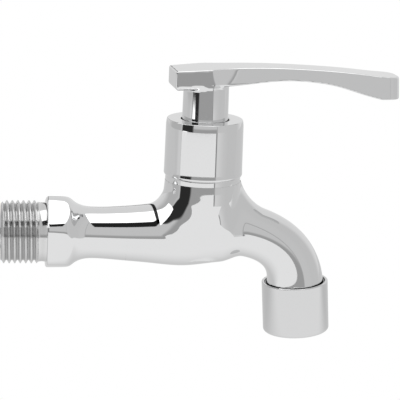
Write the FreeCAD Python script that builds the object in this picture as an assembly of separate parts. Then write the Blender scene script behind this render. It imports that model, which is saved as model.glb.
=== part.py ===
import FreeCAD
import Part
import math
import os

Vector = FreeCAD.Vector

# Wall tap with a quarter-turn lever, in millimetres.
# The origin is on the inlet axis, in the plane of the collar's wall-side face.
# +X runs from the wall towards the spout, +Z is up, and the valve axis is vertical.

# Inlet spigot, with the outside diameter of a G 1/2 pipe thread
SPIGOT_R = 20.955 / 2
SPIGOT_LENGTH = 14.9
SPIGOT_CHAMFER = 1.0
INLET_BORE_R = 6.5

# Hexagonal collar for the spanner, with soft corners
COLLAR_SIDES = 6
COLLAR_FLATS = 23.0
COLLAR_CORNER_R = 5.5
COLLAR_TURN = 10.0
COLLAR_STRAIGHT = 4.0
COLLAR_SHOULDER = 7.8
COLLAR_SHOULDER_R = 11.4
COLLAR_ARC_RUN = 1.5
COLLAR_ARC_RISE = 0.25
SHOULDER_RUN = 3.6
SHOULDER_END_R = 9.15

# Supply tube, from its waist to its belly under the valve and on into the spout
WAIST_X = 16.0
WAIST_R = 8.6
BELLY_X = 46.0
BELLY_R = 10.9
TUBE_END_X = 68.0
TUBE_END_R = 8.2
# Points between these, as (share of the way, share of the change in radius)
SHOULDER_SHAPE = [(0.47, 0.58)]
SWELL_SHAPE = [(0.28, 0.26), (0.61, 0.65)]
FALL_SHAPE = [(0.39, 0.28), (0.69, 0.70)]

# Valve chamber, on its own vertical axis
VALVE_X = 51.7
NECK_R = 12.8
NECK_TOP = 19.0
NECK_STRAIGHT = 7.0
CHAMBER_DEPTH = 9.4
# Bulb under the neck, as (share of its depth, share of the neck's radius)
BULB_SHAPE = [(0.257, 0.98), (0.537, 0.883), (0.822, 0.625)]
CHAMBER_R = 9.0
BLEND_R = 6.6
NECK_THREAD_R = 10.8
NECK_THREAD_LENGTH = 6.5
SEAT_Z = 7.0
PORT_R = 4.6
INLET_TAPER_START = 34.0
INLET_TAPER_LENGTH = 10.0
INLET_END_R = 4.8

# Spout, from the valve axis to the rim of its outlet ring, with a swept centreline
SPOUT_REACH = 32.9
SPOUT_DROP = 16.6
SPOUT_TILT = 4.3
SPOUT_RISE = 2.2
SPOUT_RUN = 20.0
SPOUT_LEAVE_ANGLE = 1.2
SPOUT_FALL = 12.5
SPOUT_ROOT_R = 9.8
SPOUT_MID_R = 9.0
SPOUT_R = 9.6
SPOUT_STATIONS = 8
SPOUT_THREAD_LENGTH = 8.5
SPOUT_WAY_R = 6.0
OVERFLOW_R = 3.3
OVERFLOW_SLOPE = 45.0
OVERFLOW_LENGTH = 8.2
OVERFLOW_OUT = 3.2
# Stations of the outlet waterway along the spout's centreline
OUTLET_TAPER_END = 0.52
OUTLET_STATIONS = (0.75, 1.0)

# Outlet ring with its aerator
RING_R = 11.2
RING_HEIGHT = 17.3
RING_RIM_R = 10.3
RING_RIM_DEPTH = 2.0
RING_LIP_R = 8.8
RING_EDGE_R = 1.0
GASKET_THICKNESS = 1.5
AERATOR_FLANGE = 1.2
AERATOR_LENGTH = 5.2
AERATOR_WALL = 1.0
PLATE_THICKNESS = 1.0
PLATE_HOLES = 12
PLATE_HOLE_FLATS = 1.4
GRID_THICKNESS = 1.2
GRID_PITCH = 2.9
GRID_HOLE_FLATS = 2.2
GRID_RINGS = 2
JETS_SHARE = 0.68

# Turned bonnet nut, narrowing upwards
BONNET_HEIGHT = 19.9
BONNET_TOP_R = 12.65
BONNET_FOOT_R = 13.03
BONNET_TOP_EDGE_R = 1.4
BONNET_CHAMFER = 0.5
BONNET_CHAMFER_HEIGHT = 1.1
BONNET_GAP = 0.35
WASHER_THICKNESS = 0.6

# Cartridge
SLEEVE_R = 7.9
SLEEVE_BORE_R = 6.75
SLEEVE_GAP = 0.6
SLEEVE_TOP = 16.9
WINDOW_ANGLE = 64.0
WINDOW_HEIGHT = 3.6
FLANGE_THICKNESS = 2.5
STEM_R = 6.6
STEM_HEIGHT = 3.0
SEAL_THICKNESS = 1.8
DISC_THICKNESS = 2.4
DISC_PORT_ANGLE = 76.0
DISC_PORT_INNER_R = 1.6
DISC_PORT_OUTER_R = 5.0
TONGUE_WIDTH = 2.4
TONGUE_DEPTH = 1.2
FOOT_THICKNESS = 1.8
FOOT_GAP = 0.5
FLANGE_GAP = 0.5
THRUST_THICKNESS = 0.6

# Spindle and its rings
SPINDLE_R = 4.0
ORING_SECTION_R = 0.55
ORING_LOWER_Z = 19.5
ORING_UPPER_Z = 23.5
BODY_ORING_SECTION_R = 0.65
BODY_ORING_Z = 21.5
GROOVE_HALF_HEIGHT = 0.9
SERRATION_TOP_R = 3.9
SERRATION_ROOT_R = 3.5
SERRATIONS = 20
SERRATION_START = 33.4
SPINDLE_TOP = 46.6
STOP_THICKNESS = 1.0
STOP_BODY_R = 5.5
STOP_REACH_R = 6.4
STOP_TAB_ANGLE = 30.0
STOP_TAB_TURN = 180.0
STOP_WALL_R = 5.7
KEY_WIDTH = 1.4
KEY_DEPTH = 0.7
CLIP_THICKNESS = 0.7
CLIP_GROOVE_R = 3.3
CLIP_R = 5.2
CLIP_MOUTH = 5.0
LEVER_TRAVEL = 90.0
STOP_SLACK_ANGLE = 1.0

# Lever handle, drawn along its own length and then turned by LEVER_ANGLE.
# The top and the underside are set down from LEVER_CREST.
LEVER_ANGLE = 4.5
HUB_R = 7.65
HUB_FOOT = 34.2
HUB_SOCKET_TOP = 47.2
TAIL_LENGTH = 11.5
TAIL_HALF_WIDTH = 6.5
TAIL_THICKNESS = 6.5
LEVER_CREST = 56.75
LEVER_THINNEST = 4.2
TAIL_DROP = 1.15
HUB_DROP = 0.45
TIP_DROP = 3.1
ARM_LENGTH = 65.2
ARM_START = 3.0
# The arm's sides lean in towards the top; its half widths are at the height of the paddle's foot.
ARM_DRAFT = 11.0
ARM_WAIST_HALF_WIDTH = 7.0
PADDLE_HALF_WIDTH = 7.8
PADDLE_LENGTH = 7.2
PADDLE_THICKNESS = 7.15
TIP_CORNER_R = 4.5
# Along the arm, as (share of its length, drop of the top)
ARM_TOP_SHAPE = [(0.2, 0.0), (0.53, 0.6), (0.78, 1.9), (0.93, 2.9)]
# Along the arm, as (share of its length, drop of the underside beyond the thinnest part)
ARM_UNDER_SHAPE = [(0.53, 0.6), (0.37, 0.2), (0.2, 1.2)]
# Towards the paddle, as (share of the arm's length, height over the paddle's foot)
PADDLE_UNDER_SHAPE = [(0.775, 1.95), (0.69, 3.6)]
# Along the arm, as (share of its length, share of the way from the hub's to the waist's half width)
ARM_PLAN_SHAPE = [(0.19, 0.59), (0.42, 1.0), (0.62, 0.96)]
# Where the arm is halfway to the paddle's width, as (share of its length, share of the way)
ARM_FLARE_SHAPE = (0.775, 0.55)
GRUB_R = 2.0
GRUB_LENGTH = 3.2
GRUB_SUNK = 0.4
GRUB_Z = 43.6
GRUB_KEY_FLATS = 2.0

# How far a shape that cuts or joins runs past the surface it works on
OVERLAP = 1.0
# Slack for telling an edge by where it lies
EDGE_SLACK = 0.1

# Clearances
THREAD_GAP = 0.05
RUNNING_GAP = 0.05
DISC_GAP = 0.02
SOCKET_GAP = 0.05

# Levels that follow from the sizes above
NECK_THREAD_TOP = NECK_TOP + NECK_THREAD_LENGTH
FLANGE_TOP = NECK_THREAD_TOP + FLANGE_THICKNESS
BONNET_SEAT = FLANGE_TOP + WASHER_THICKNESS
BONNET_TOP = NECK_TOP + BONNET_HEIGHT
BONNET_BORE_R = HUB_R + BONNET_GAP
FLANGE_R = NECK_THREAD_R - FLANGE_GAP
FOOT_R = SLEEVE_BORE_R - FOOT_GAP
PADDLE_START = ARM_LENGTH - PADDLE_LENGTH
PADDLE_FOOT = LEVER_CREST - TIP_DROP - PADDLE_THICKNESS
STEM_TOP = FLANGE_TOP + STEM_HEIGHT
SLEEVE_FOOT = SEAT_Z + SLEEVE_GAP
FIXED_DISC_FOOT = SEAT_Z + SEAL_THICKNESS
MOVING_DISC_FOOT = FIXED_DISC_FOOT + DISC_THICKNESS + DISC_GAP
FOOT_Z = MOVING_DISC_FOOT + DISC_THICKNESS
THRUST_Z = FOOT_Z + FOOT_THICKNESS
CEILING_Z = THRUST_Z + THRUST_THICKNESS + RUNNING_GAP
STOP_Z = STEM_TOP + RUNNING_GAP
CLIP_Z = STOP_Z + STOP_THICKNESS + RUNNING_GAP


def valve_point(radius, z):
    return Vector(VALVE_X + radius, 0, z)


def solid_of_revolution(edges, centre, axis):
    face = Part.Face(Part.Wire(edges))
    return face.revolve(centre, axis, 360)


def smooth_edge(points, start=None, end=None):
    curve = Part.BSplineCurve()
    if start and end:
        curve.interpolate(points, InitialTangent=start, FinalTangent=end)
    else:
        curve.interpolate(points)
    return curve.toShape()


def valve_cylinder(radius, foot, top):
    return Part.makeCylinder(radius, top - foot, valve_point(0, foot))


def valve_ring(outer, inner, foot, top):
    return valve_cylinder(outer, foot, top).cut(valve_cylinder(inner, foot, top))


def valve_oring(centre_r, section_r, z):
    return Part.makeTorus(centre_r, section_r, valve_point(0, z))


def regular_polygon(flats, sides):
    # Corner points round the origin, with a flat facing +Y.
    corner_r = flats / 2 / math.cos(math.pi / sides)
    step = 2 * math.pi / sides
    turns = [math.pi / 2 + step * (k + 0.5) for k in range(sides)]
    return [Vector(corner_r * math.cos(turn), corner_r * math.sin(turn), 0) for turn in turns]


def rounded_polygon(flats, sides, corner_r):
    # A closed wire in the XY plane, with its corners rounded.
    corners = regular_polygon(flats, sides)
    half_turn = math.pi / sides
    back = corner_r * math.tan(half_turn)
    starts = []
    ends = []
    for k, corner in enumerate(corners):
        before = (corners[k - 1] - corner).normalize()
        after = (corners[(k + 1) % sides] - corner).normalize()
        starts.append(corner + before * back)
        ends.append(corner + after * back)
    edges = []
    for k, corner in enumerate(corners):
        inward = corner * (-1 / corner.Length)
        middle = corner + inward * (corner_r / math.cos(half_turn) - corner_r)
        edges.append(Part.Arc(starts[k], middle, ends[k]).toShape())
        edges.append(Part.makeLine(ends[k], starts[(k + 1) % sides]))
    return Part.Wire(edges)


def between(start, end, shape):
    # Points on the way from one (place, size) to another, both included.
    reach = end[0] - start[0]
    change = end[1] - start[1]
    middle = [(start[0] + way * reach, start[1] + share * change) for way, share in shape]
    return [start, *middle, end]


def sector(outer, inner, foot, height, middle, angle):
    # A ring sector round the valve axis, centred on the given angle.
    block = Part.makeCylinder(outer, height, valve_point(0, foot), Vector(0, 0, 1), angle)
    block.rotate(valve_point(0, foot), Vector(0, 0, 1), middle - angle / 2)
    return block.cut(valve_cylinder(inner, foot, foot + height))


def along_spout(shape):
    # Moves a shape from its own upright frame to the spout's mouth, with +Z pointing down the axis.
    shape.rotate(Vector(0, 0, 0), Vector(0, 1, 0), 180 - SPOUT_TILT)
    shape.translate(Vector(VALVE_X + SPOUT_REACH, 0, -SPOUT_DROP))
    return shape


def tube_solid():
    # Supply tube: a waist behind the collar, swelling to a belly and closing inside the spout.
    shoulder = (COLLAR_SHOULDER, COLLAR_SHOULDER_R)
    shoulder_end = (COLLAR_SHOULDER + SHOULDER_RUN, SHOULDER_END_R)
    waist = (WAIST_X, WAIST_R)
    belly = (BELLY_X, BELLY_R)
    profile = between(shoulder, shoulder_end, SHOULDER_SHAPE)
    profile += between(waist, belly, SWELL_SHAPE)
    profile += between(belly, (TUBE_END_X, TUBE_END_R), FALL_SHAPE)[1:]
    first_x, first_r = profile[0]
    last_x, last_r = profile[-1]
    edges = [
        smooth_edge([Vector(x, 0, r) for x, r in profile]),
        Part.makeLine(Vector(last_x, 0, last_r), Vector(last_x, 0, 0)),
        Part.makeLine(Vector(last_x, 0, 0), Vector(first_x, 0, 0)),
        Part.makeLine(Vector(first_x, 0, 0), Vector(first_x, 0, first_r)),
    ]
    return solid_of_revolution(edges, Vector(0, 0, 0), Vector(1, 0, 0))


def chamber_solid():
    # Valve chamber: a straight neck over a bulb that closes under the seat.
    straight_foot = NECK_TOP - NECK_STRAIGHT
    depth = straight_foot + CHAMBER_DEPTH
    sides = [valve_point(NECK_R * share, straight_foot - depth * way) for way, share in BULB_SHAPE]
    bulb = [valve_point(NECK_R, straight_foot), *sides, valve_point(0, -CHAMBER_DEPTH)]
    edges = [
        Part.makeLine(valve_point(0, NECK_TOP), valve_point(NECK_R, NECK_TOP)),
        Part.makeLine(valve_point(NECK_R, NECK_TOP), bulb[0]),
        smooth_edge(bulb, Vector(0, 0, -1), Vector(-1, 0, 0)),
        Part.makeLine(bulb[-1], valve_point(0, NECK_TOP)),
    ]
    return solid_of_revolution(edges, valve_point(0, 0), Vector(0, 0, 1))


def spout_centreline():
    leave = math.radians(SPOUT_LEAVE_ANGLE)
    arrive = math.radians(SPOUT_TILT)
    start = valve_point(0, SPOUT_RISE)
    end = valve_point(SPOUT_REACH, -SPOUT_DROP)
    start_pull = start + Vector(math.cos(leave), 0, -math.sin(leave)) * SPOUT_RUN
    end_pull = end - Vector(math.sin(arrive), 0, -math.cos(arrive)) * SPOUT_FALL
    curve = Part.BezierCurve()
    curve.setPoles([start, start_pull, end_pull, end])
    return curve


def spout_radius(t):
    swell = (2 * t - 1) ** 2
    end_r = SPOUT_ROOT_R if t < 0.5 else SPOUT_R
    return SPOUT_MID_R + (end_r - SPOUT_MID_R) * swell


def circle_wire(centre, direction, radius):
    return Part.Wire(Part.Circle(centre, direction, radius).toShape())


def centreline_circle(t, radius):
    line = spout_centreline()
    return circle_wire(line.value(t), line.tangent(t)[0], radius)


def spout_solid():
    stations = [k / (SPOUT_STATIONS - 1) for k in range(SPOUT_STATIONS)]
    return Part.makeLoft([centreline_circle(t, spout_radius(t)) for t in stations], True, False)


def crease_edges(shape):
    # The edges where the chamber meets the tube and the spout; the neck's own circles are level.
    reach = NECK_R + OVERLAP
    found = []
    for edge in shape.Edges:
        box = edge.BoundBox
        near = box.XMin > VALVE_X - reach and box.XMax < VALVE_X + reach
        if near and box.YLength > OVERLAP and box.ZLength > OVERLAP:
            found.append(edge)
    return found


def collar_solid():
    # A hexagonal bar, turned down on its spout side to run into the tube.
    outline = rounded_polygon(COLLAR_FLATS, COLLAR_SIDES, COLLAR_CORNER_R)
    bar = Part.Face(outline).extrude(Vector(0, 0, COLLAR_SHOULDER))
    bar.rotate(Vector(0, 0, 0), Vector(0, 1, 0), 90)
    bar.rotate(Vector(0, 0, 0), Vector(1, 0, 0), COLLAR_TURN)
    turned_r = COLLAR_FLATS / 2 / math.cos(math.pi / COLLAR_SIDES)
    middle_r = (turned_r + COLLAR_SHOULDER_R) / 2 + COLLAR_ARC_RISE
    middle = Vector(COLLAR_SHOULDER - COLLAR_ARC_RUN, 0, middle_r)
    edges = [
        Part.makeLine(Vector(0, 0, 0), Vector(0, 0, turned_r)),
        Part.makeLine(Vector(0, 0, turned_r), Vector(COLLAR_STRAIGHT, 0, turned_r)),
        Part.Arc(Vector(COLLAR_STRAIGHT, 0, turned_r), middle,
                 Vector(COLLAR_SHOULDER, 0, COLLAR_SHOULDER_R)).toShape(),
        Part.makeLine(Vector(COLLAR_SHOULDER, 0, COLLAR_SHOULDER_R), Vector(COLLAR_SHOULDER, 0, 0)),
        Part.makeLine(Vector(COLLAR_SHOULDER, 0, 0), Vector(0, 0, 0)),
    ]
    turned = solid_of_revolution(edges, Vector(0, 0, 0), Vector(1, 0, 0))
    return bar.common(turned)


def spigot_solid():
    # Plain at the thread's outside diameter, with the lead chamfer of the thread.
    straight = SPIGOT_LENGTH - SPIGOT_CHAMFER
    bar = Part.makeCylinder(SPIGOT_R, straight, Vector(-straight, 0, 0), Vector(1, 0, 0))
    lead = Part.makeCone(SPIGOT_R - SPIGOT_CHAMFER, SPIGOT_R, SPIGOT_CHAMFER,
                         Vector(-SPIGOT_LENGTH, 0, 0), Vector(1, 0, 0))
    return bar.fuse(lead)


def inlet_waterway():
    # From the wall to an elbow under the seat, and up through the seat.
    taper_end = INLET_TAPER_START + INLET_TAPER_LENGTH
    along = Vector(1, 0, 0)
    straight = SPIGOT_LENGTH + INLET_TAPER_START
    bore = Part.makeCylinder(INLET_BORE_R, straight, Vector(-SPIGOT_LENGTH, 0, 0), along)
    taper = Part.makeCone(INLET_BORE_R, INLET_END_R, INLET_TAPER_LENGTH,
                          Vector(INLET_TAPER_START, 0, 0), along)
    end = Part.makeCylinder(INLET_END_R, VALVE_X - taper_end, Vector(taper_end, 0, 0), along)
    elbow = Part.makeSphere(INLET_END_R, valve_point(0, 0))
    port = valve_cylinder(PORT_R, 0, SEAT_Z)
    return bore.fuse([taper, end, elbow, port])


def outlet_waterway():
    # Out of the chamber's side, over the inlet elbow and down the spout.
    slope = math.radians(OVERFLOW_SLOPE)
    direction = Vector(math.cos(slope), 0, -math.sin(slope))
    low = valve_point(CHAMBER_R + OVERFLOW_OUT, SEAT_Z)
    overflow = Part.makeCylinder(OVERFLOW_R, OVERFLOW_LENGTH, low - direction * OVERFLOW_LENGTH, direction)
    wires = [
        circle_wire(low, direction, OVERFLOW_R),
        centreline_circle(OUTLET_TAPER_END, (OVERFLOW_R + SPOUT_WAY_R) / 2),
        *[centreline_circle(t, SPOUT_WAY_R) for t in OUTLET_STATIONS],
    ]
    mouth = along_spout(Part.makeCylinder(SPOUT_WAY_R, SPOUT_THREAD_LENGTH))
    return overflow.fuse([Part.makeLoft(wires, True, False), mouth])


def tap_body():
    shell = tube_solid().fuse([chamber_solid(), spout_solid()]).removeSplitter()
    shell = shell.makeFillet(BLEND_R, crease_edges(shell))
    neck_thread = valve_cylinder(NECK_THREAD_R, NECK_TOP, NECK_THREAD_TOP)
    spout_thread = along_spout(Part.makeCylinder(SPOUT_R, SPOUT_THREAD_LENGTH))
    shell = shell.fuse([collar_solid(), spigot_solid(), neck_thread, spout_thread])
    shell = shell.cut(valve_cylinder(CHAMBER_R, SEAT_Z, NECK_THREAD_TOP))
    return shell.cut(inlet_waterway().fuse(outlet_waterway()))


def outlet_ring():
    seat = SPOUT_THREAD_LENGTH + GASKET_THICKNESS + AERATOR_FLANGE
    ring = Part.makeCylinder(RING_R, RING_HEIGHT)
    foot_edges = [edge for edge in ring.Edges if edge.BoundBox.ZMin > RING_HEIGHT - EDGE_SLACK]
    ring = ring.makeFillet(RING_EDGE_R, foot_edges)
    rim = Part.makeCylinder(RING_RIM_R, RING_RIM_DEPTH)
    thread = Part.makeCylinder(SPOUT_R + THREAD_GAP, seat)
    lip = Part.makeCylinder(RING_LIP_R, RING_HEIGHT)
    return along_spout(ring.cut(rim.fuse([thread, lip])))


def outlet_gasket():
    gasket = Part.makeCylinder(SPOUT_R, GASKET_THICKNESS)
    gasket = gasket.cut(Part.makeCylinder(SPOUT_WAY_R, GASKET_THICKNESS))
    gasket.translate(Vector(0, 0, SPOUT_THREAD_LENGTH))
    return along_spout(gasket)


def aerator_pocket_r():
    return RING_LIP_R - THREAD_GAP - AERATOR_WALL


def aerator_housing():
    # A flanged cup, with a pocket for the plate at its top and one for the grid at its foot.
    top = SPOUT_THREAD_LENGTH + GASKET_THICKNESS
    foot = top + AERATOR_FLANGE + AERATOR_LENGTH
    flange = Part.makeCylinder(SPOUT_R, AERATOR_FLANGE, Vector(0, 0, top))
    barrel = Part.makeCylinder(RING_LIP_R - THREAD_GAP, foot - top, Vector(0, 0, top))
    way = Part.makeCylinder(aerator_pocket_r() - AERATOR_WALL / 2, foot - top, Vector(0, 0, top))
    plate_pocket = Part.makeCylinder(aerator_pocket_r(), PLATE_THICKNESS, Vector(0, 0, top))
    grid_pocket = Part.makeCylinder(aerator_pocket_r(), GRID_THICKNESS, Vector(0, 0, foot - GRID_THICKNESS))
    return along_spout(flange.fuse(barrel).cut(way.fuse([plate_pocket, grid_pocket])))


def hexagon_hole(centre, flats, height):
    corners = [corner + centre for corner in regular_polygon(flats, 6)]
    corners.append(corners[0])
    return Part.Face(Part.makePolygon(corners)).extrude(Vector(0, 0, height))


def perforated_disc(thickness, centres, flats):
    disc = Part.makeCylinder(aerator_pocket_r(), thickness)
    return disc.cut([hexagon_hole(centre, flats, thickness) for centre in centres])


def aerator_plate():
    # One ring of small jets.
    jets_r = aerator_pocket_r() * JETS_SHARE
    turns = [2 * math.pi * k / PLATE_HOLES for k in range(PLATE_HOLES)]
    centres = [Vector(jets_r * math.cos(turn), jets_r * math.sin(turn), 0) for turn in turns]
    plate = perforated_disc(PLATE_THICKNESS, centres, PLATE_HOLE_FLATS)
    plate.translate(Vector(0, 0, SPOUT_THREAD_LENGTH + GASKET_THICKNESS))
    return along_spout(plate)


def aerator_grid():
    # A honeycomb that straightens the stream.
    centres = []
    for row in range(-GRID_RINGS, GRID_RINGS + 1):
        count = 2 * GRID_RINGS + 1 - abs(row)
        for place in range(count):
            x = (place - (count - 1) / 2) * GRID_PITCH
            centres.append(Vector(x, row * GRID_PITCH * math.sqrt(3) / 2, 0))
    grid = perforated_disc(GRID_THICKNESS, centres, GRID_HOLE_FLATS)
    foot = SPOUT_THREAD_LENGTH + GASKET_THICKNESS + AERATOR_FLANGE + AERATOR_LENGTH
    grid.translate(Vector(0, 0, foot - GRID_THICKNESS))
    return along_spout(grid)


def bonnet():
    # A turned nut with a threaded foot, a bored top, a foot chamfer and a rounded top edge.
    thread_r = NECK_THREAD_R + THREAD_GAP
    outline = [
        valve_point(thread_r, NECK_TOP),
        valve_point(BONNET_FOOT_R - BONNET_CHAMFER, NECK_TOP),
        valve_point(BONNET_FOOT_R, NECK_TOP + BONNET_CHAMFER_HEIGHT),
        valve_point(BONNET_TOP_R, BONNET_TOP),
        valve_point(BONNET_BORE_R, BONNET_TOP),
        valve_point(BONNET_BORE_R, BONNET_SEAT),
        valve_point(thread_r, BONNET_SEAT),
        valve_point(thread_r, NECK_TOP),
    ]
    nut = solid_of_revolution([Part.makePolygon(outline)], valve_point(0, 0), Vector(0, 0, 1))
    rims = [edge for edge in nut.Edges if edge.BoundBox.ZMin > BONNET_TOP - EDGE_SLACK]
    top_edges = [edge for edge in rims if edge.BoundBox.XMax > VALVE_X + BONNET_BORE_R + OVERLAP]
    return nut.makeFillet(BONNET_TOP_EDGE_R, top_edges)


def bonnet_washer():
    return valve_ring(FLANGE_R, BONNET_BORE_R, FLANGE_TOP, BONNET_SEAT)


def cartridge_body():
    # Flanged brass barrel over a windowed sleeve; a wall on its stem stops the spindle's tab.
    barrel_r = CHAMBER_R - RUNNING_GAP
    groove_r = CHAMBER_R - 2 * BODY_ORING_SECTION_R
    parts = [
        valve_cylinder(barrel_r, SLEEVE_TOP, NECK_THREAD_TOP),
        valve_cylinder(FLANGE_R, NECK_THREAD_TOP, FLANGE_TOP),
        valve_cylinder(STEM_R, FLANGE_TOP, STEM_TOP),
    ]
    body = valve_cylinder(SLEEVE_R, SLEEVE_FOOT, SLEEVE_TOP).fuse(parts)
    gap_angle = LEVER_TRAVEL + STOP_TAB_ANGLE + 2 * STOP_SLACK_ANGLE
    wall_middle = STOP_TAB_TURN + LEVER_TRAVEL / 2 + 180
    wall_height = STOP_THICKNESS + RUNNING_GAP
    body = body.fuse(sector(STEM_R, STOP_WALL_R, STEM_TOP, wall_height, wall_middle, 360 - gap_angle))
    cuts = [
        valve_cylinder(SLEEVE_BORE_R, SLEEVE_FOOT, CEILING_Z),
        valve_ring(CHAMBER_R, groove_r, BODY_ORING_Z - GROOVE_HALF_HEIGHT, BODY_ORING_Z + GROOVE_HALF_HEIGHT),
    ]
    for turn in (0, 90, 180, 270):
        cuts.append(sector(CHAMBER_R, SLEEVE_BORE_R - OVERLAP, MOVING_DISC_FOOT, WINDOW_HEIGHT, turn, WINDOW_ANGLE))
    return body.cut(valve_cylinder(SPINDLE_R + RUNNING_GAP, SLEEVE_FOOT, STEM_TOP).fuse(cuts))


def cartridge_oring():
    return valve_oring(CHAMBER_R - BODY_ORING_SECTION_R, BODY_ORING_SECTION_R, BODY_ORING_Z)


def seat_seal():
    return valve_ring(SLEEVE_BORE_R, PORT_R, SEAT_Z, FIXED_DISC_FOOT)


def fixed_disc():
    # Two ports through the disc, one towards the spout and one towards the wall.
    disc = valve_cylinder(SLEEVE_BORE_R, FIXED_DISC_FOOT, FIXED_DISC_FOOT + DISC_THICKNESS)
    ports = [sector(DISC_PORT_OUTER_R, DISC_PORT_INNER_R, FIXED_DISC_FOOT, DISC_THICKNESS, turn, DISC_PORT_ANGLE)
             for turn in (0, 180)]
    return disc.cut(ports)


def moving_disc():
    # Closed at rest: its notches lie a quarter turn from the fixed disc's ports.
    disc_r = SLEEVE_BORE_R - RUNNING_GAP
    disc = valve_cylinder(disc_r, MOVING_DISC_FOOT, FOOT_Z)
    cuts = [sector(disc_r + OVERLAP, DISC_PORT_INNER_R, MOVING_DISC_FOOT, DISC_THICKNESS, turn, DISC_PORT_ANGLE)
            for turn in (90, 270)]
    cuts.append(tongue(TONGUE_WIDTH, disc_r))
    return disc.cut(cuts)


def tongue(width, half_length):
    corner = valve_point(-half_length, FOOT_Z - TONGUE_DEPTH) - Vector(0, width / 2, 0)
    return Part.makeBox(2 * half_length, width, TONGUE_DEPTH, corner)


def serrated_bar(gap, foot, top):
    # A star-shaped bar with one tooth on the lever's own direction.
    points = []
    for k in range(2 * SERRATIONS):
        radius = (SERRATION_TOP_R if k % 2 == 0 else SERRATION_ROOT_R) + gap
        turn = math.radians(LEVER_ANGLE) + math.pi * k / SERRATIONS
        points.append(valve_point(0, foot) + Vector(radius * math.cos(turn), radius * math.sin(turn), 0))
    points.append(points[0])
    return Part.Face(Part.makePolygon(points)).extrude(Vector(0, 0, top - foot))


def keyway(inner, outer, width, foot, height):
    corner = valve_point(-outer, foot) - Vector(0, width / 2, 0)
    return Part.makeBox(outer - inner, width, height, corner)


def spindle():
    # From the tongue in the moving disc up to the serrated end inside the lever's hub.
    groove_r = SPINDLE_R - 2 * ORING_SECTION_R
    body = valve_cylinder(FOOT_R, FOOT_Z, THRUST_Z)
    body = body.fuse([
        tongue(TONGUE_WIDTH - 2 * SOCKET_GAP, FOOT_R).common(valve_cylinder(FOOT_R, MOVING_DISC_FOOT, FOOT_Z)),
        valve_cylinder(SPINDLE_R, THRUST_Z, SERRATION_START),
        serrated_bar(0, SERRATION_START, SPINDLE_TOP),
    ])
    cuts = [
        valve_ring(SPINDLE_R + OVERLAP, groove_r, z - GROOVE_HALF_HEIGHT, z + GROOVE_HALF_HEIGHT)
        for z in (ORING_LOWER_Z, ORING_UPPER_Z)
    ]
    cuts.append(valve_ring(SPINDLE_R + OVERLAP, CLIP_GROOVE_R, CLIP_Z, CLIP_Z + CLIP_THICKNESS))
    cuts.append(keyway(SPINDLE_R - KEY_DEPTH, SPINDLE_R, KEY_WIDTH, STEM_TOP, CLIP_Z - STEM_TOP))
    return body.cut(cuts)


def spindle_oring(z):
    return valve_oring(SPINDLE_R - ORING_SECTION_R, ORING_SECTION_R, z)


def thrust_washer():
    return valve_ring(FOOT_R, SPINDLE_R, THRUST_Z, THRUST_Z + THRUST_THICKNESS)


def stop_ring():
    # A keyed ring whose tab runs between the ends of the cartridge's stop wall.
    ring = valve_ring(STOP_BODY_R, SPINDLE_R, STOP_Z, STOP_Z + STOP_THICKNESS)
    tab = sector(STOP_REACH_R, STOP_BODY_R - OVERLAP, STOP_Z, STOP_THICKNESS, STOP_TAB_TURN, STOP_TAB_ANGLE)
    key = keyway(SPINDLE_R - KEY_DEPTH, STOP_BODY_R - OVERLAP, KEY_WIDTH, STOP_Z, STOP_THICKNESS)
    return ring.fuse([tab, key])


def spindle_circlip():
    clip = valve_ring(CLIP_R, CLIP_GROOVE_R, CLIP_Z, CLIP_Z + CLIP_THICKNESS)
    mouth_corner = valve_point(0, CLIP_Z) - Vector(0, CLIP_MOUTH / 2, 0)
    mouth = Part.makeBox(CLIP_R, CLIP_MOUTH, CLIP_THICKNESS, mouth_corner)
    return clip.cut(mouth)


def lever_plan(height):
    # Half outline of the lever at a height over the paddle's foot, mirrored to make the whole one.
    set_in = height * math.tan(math.radians(ARM_DRAFT))
    waist = ARM_WAIST_HALF_WIDTH - set_in
    paddle = PADDLE_HALF_WIDTH - set_in
    shoulder = Vector(ARM_START, HUB_R, 0)
    flare_way, flare_share = ARM_FLARE_SHAPE
    flare = waist + flare_share * (paddle - waist)
    arm = [
        shoulder,
        *[Vector(ARM_LENGTH * way, HUB_R - (HUB_R - waist) * share, 0) for way, share in ARM_PLAN_SHAPE],
        Vector(ARM_LENGTH * flare_way, flare, 0),
        Vector(PADDLE_START, paddle, 0),
    ]
    corner = Vector(ARM_LENGTH - TIP_CORNER_R, paddle - TIP_CORNER_R, 0)
    lean = TIP_CORNER_R * math.sqrt(0.5)
    corner_start = corner + Vector(0, TIP_CORNER_R, 0)
    corner_end = corner + Vector(TIP_CORNER_R, 0, 0)
    half = [
        Part.makeLine(Vector(-TAIL_LENGTH, 0, 0), Vector(-TAIL_LENGTH, TAIL_HALF_WIDTH, 0)),
        Part.makeLine(Vector(-TAIL_LENGTH, TAIL_HALF_WIDTH, 0), shoulder),
        smooth_edge(arm),
        Part.makeLine(arm[-1], corner_start),
        Part.Arc(corner_start, corner + Vector(lean, lean, 0), corner_end).toShape(),
        Part.makeLine(corner_end, Vector(ARM_LENGTH, 0, 0)),
    ]
    other = [edge.mirror(Vector(0, 0, 0), Vector(0, 1, 0)) for edge in half]
    outline = Part.Wire(Part.__sortEdges__(half + other))
    outline.translate(Vector(0, 0, PADDLE_FOOT + height))
    return outline


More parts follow.
